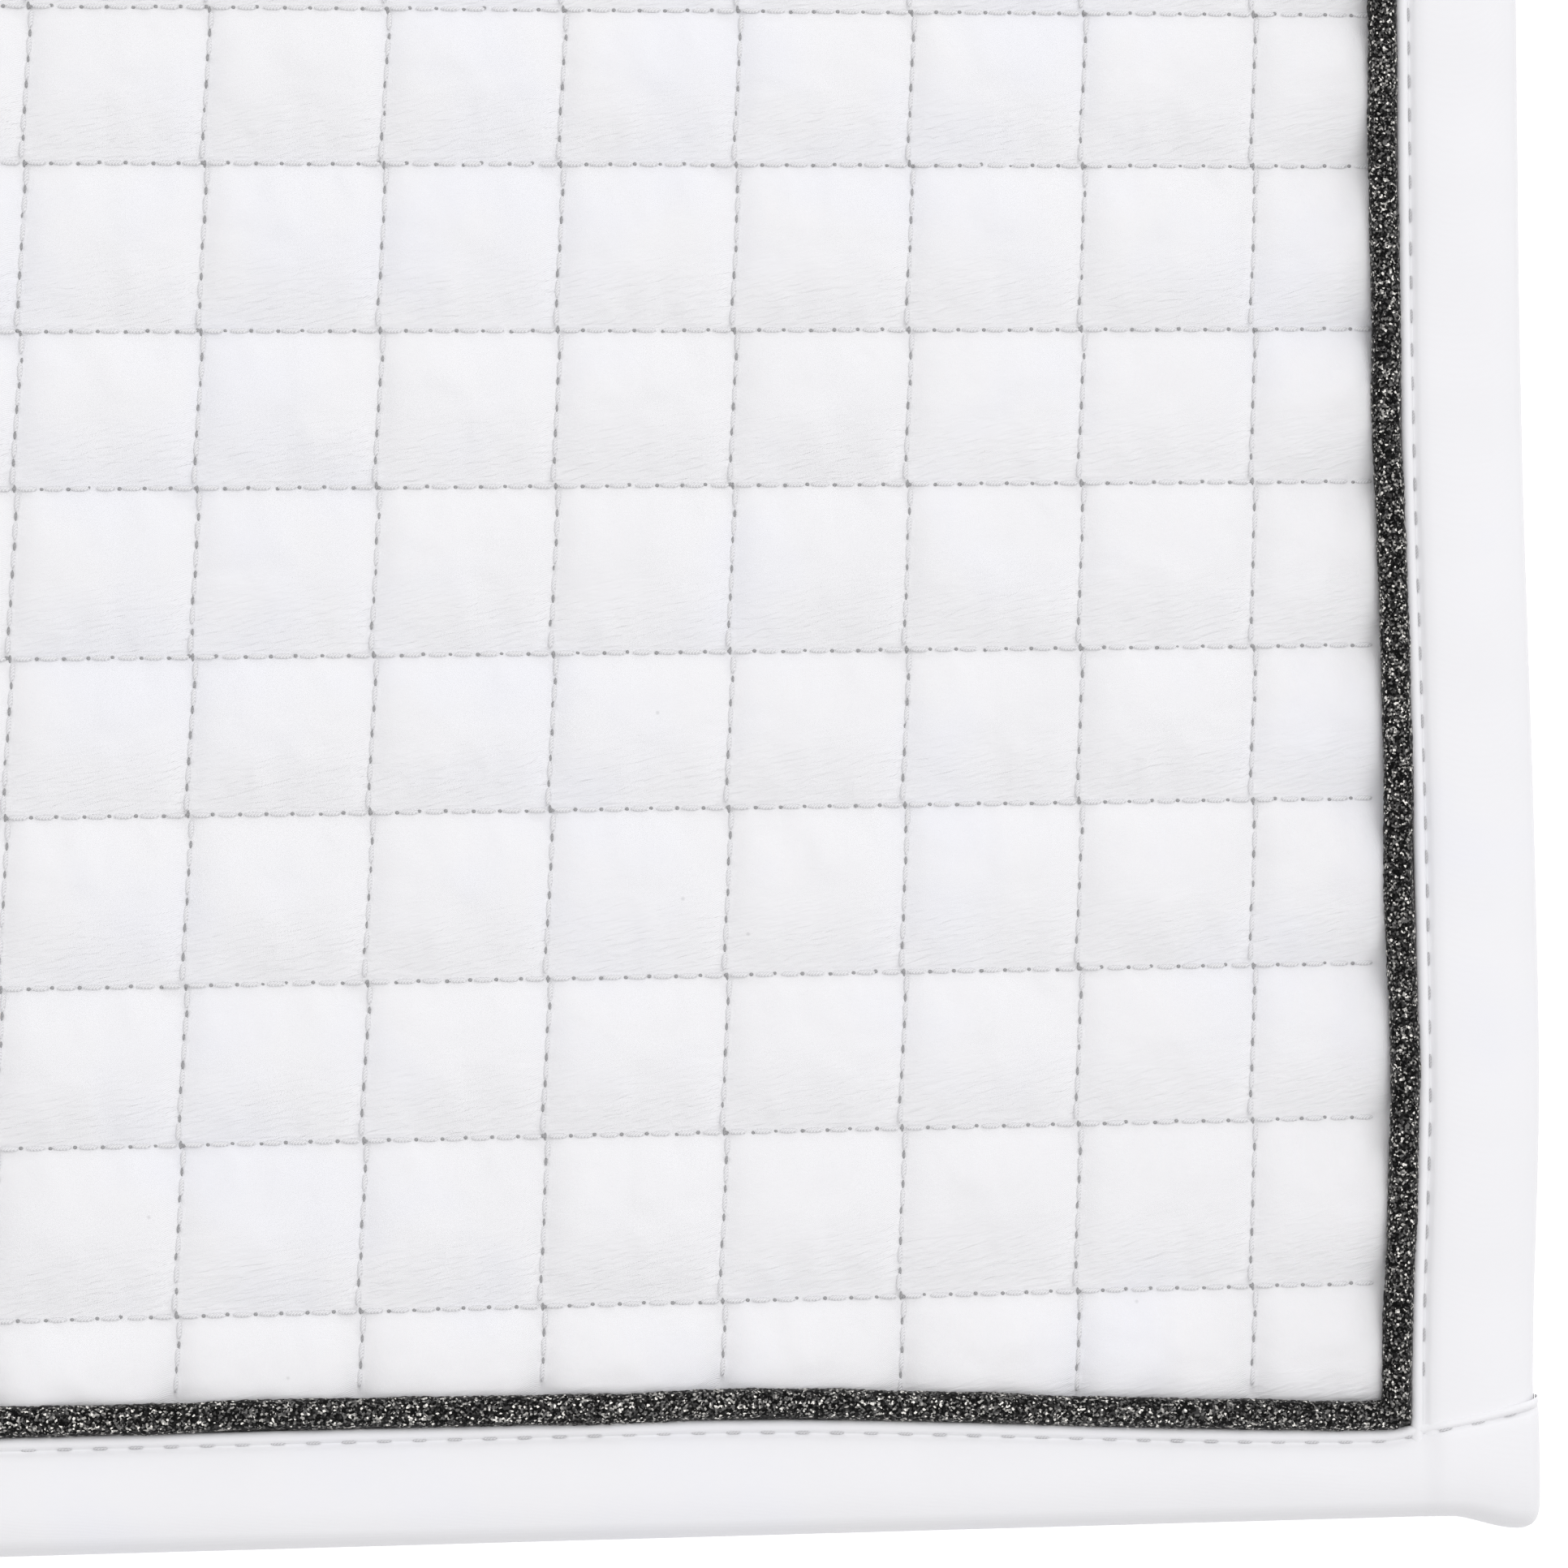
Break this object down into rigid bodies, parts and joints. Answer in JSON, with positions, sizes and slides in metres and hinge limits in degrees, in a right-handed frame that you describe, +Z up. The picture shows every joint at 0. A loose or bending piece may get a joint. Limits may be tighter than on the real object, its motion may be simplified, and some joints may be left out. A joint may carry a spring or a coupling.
{
  "type": "saddle pad",
  "caption": "Quilted dressage saddle pad: two padded, bound and piped flaps that fold at the spine, with girth loops and hook-and-loop saddle straps.",
  "frame": {"origin": "middle of the footprint, on the surface that the two lower edges stand on", "axes": "+X along the spine towards the horse's tail, -Y to the near (left) flap, +Y to the off (right) flap, +Z up"},
  "size_m": [0.655, 0.4614, 0.4948],
  "materials": {
    "cover_fabric": "satin microfibre, quilted",
    "lining_fabric": "matte cotton, quilted",
    "filling": "fibre wadding",
    "binding_tape": "smooth satin tape",
    "glitter_piping": "black metallic-thread sleeve with silver specks",
    "filler_cord": "twisted cotton",
    "webbing": "woven webbing",
    "hook_and_loop": "hook-and-loop tape"
  },
  "bodies": {
    "off_flap": {"off_outer_cover": "cover_fabric", "off_filling": "filling", "off_lining": "lining_fabric", "off_rear_binding": "binding_tape", "off_front_binding": "binding_tape", "off_bottom_binding": "binding_tape", "off_rear_piping_sleeve": "glitter_piping", "off_rear_piping_cord": "filler_cord", "off_front_piping_sleeve": "glitter_piping", "off_front_piping_cord": "filler_cord", "off_bottom_piping_sleeve": "glitter_piping", "off_bottom_piping_cord": "filler_cord", "off_girth_loop": "webbing", "off_loop_patch": "hook_and_loop", "off_strap_anchor": "webbing", "spine_outer_tape": "binding_tape", "spine_inner_tape": "binding_tape"},
    "near_flap": {"near_outer_cover": "cover_fabric", "near_filling": "filling", "near_lining": "lining_fabric", "near_rear_binding": "binding_tape", "near_front_binding": "binding_tape", "near_bottom_binding": "binding_tape", "near_rear_piping_sleeve": "glitter_piping", "near_rear_piping_cord": "filler_cord", "near_front_piping_sleeve": "glitter_piping", "near_front_piping_cord": "filler_cord", "near_bottom_piping_sleeve": "glitter_piping", "near_bottom_piping_cord": "filler_cord", "near_girth_loop": "webbing", "near_loop_patch": "hook_and_loop", "near_strap_anchor": "webbing"},
    "near_strap": {"near_strap_webbing": "webbing", "near_strap_hook_patch": "hook_and_loop"},
    "off_strap": {"off_strap_webbing": "webbing", "off_strap_hook_patch": "hook_and_loop"}
  },
  "joints": [
    {"name": "spine_fold", "type": "hinge", "parent": "off_flap", "child": "near_flap", "pos_m": [0, 0, 0.49141], "axis": [-1, 0, 0], "range_deg": [-47, 132], "deforming": ["spine_outer_tape", "spine_inner_tape"]},
    {"name": "near_strap_open", "type": "hinge", "parent": "near_flap", "child": "near_strap", "pos_m": [-0.205, -0.06178, 0.38756], "axis": [-1, 0, 0], "range_deg": [0, 150]},
    {"name": "off_strap_open", "type": "hinge", "parent": "off_flap", "child": "off_strap", "pos_m": [-0.205, 0.06178, 0.38756], "axis": [1, 0, 0], "range_deg": [0, 150]}
  ]
}
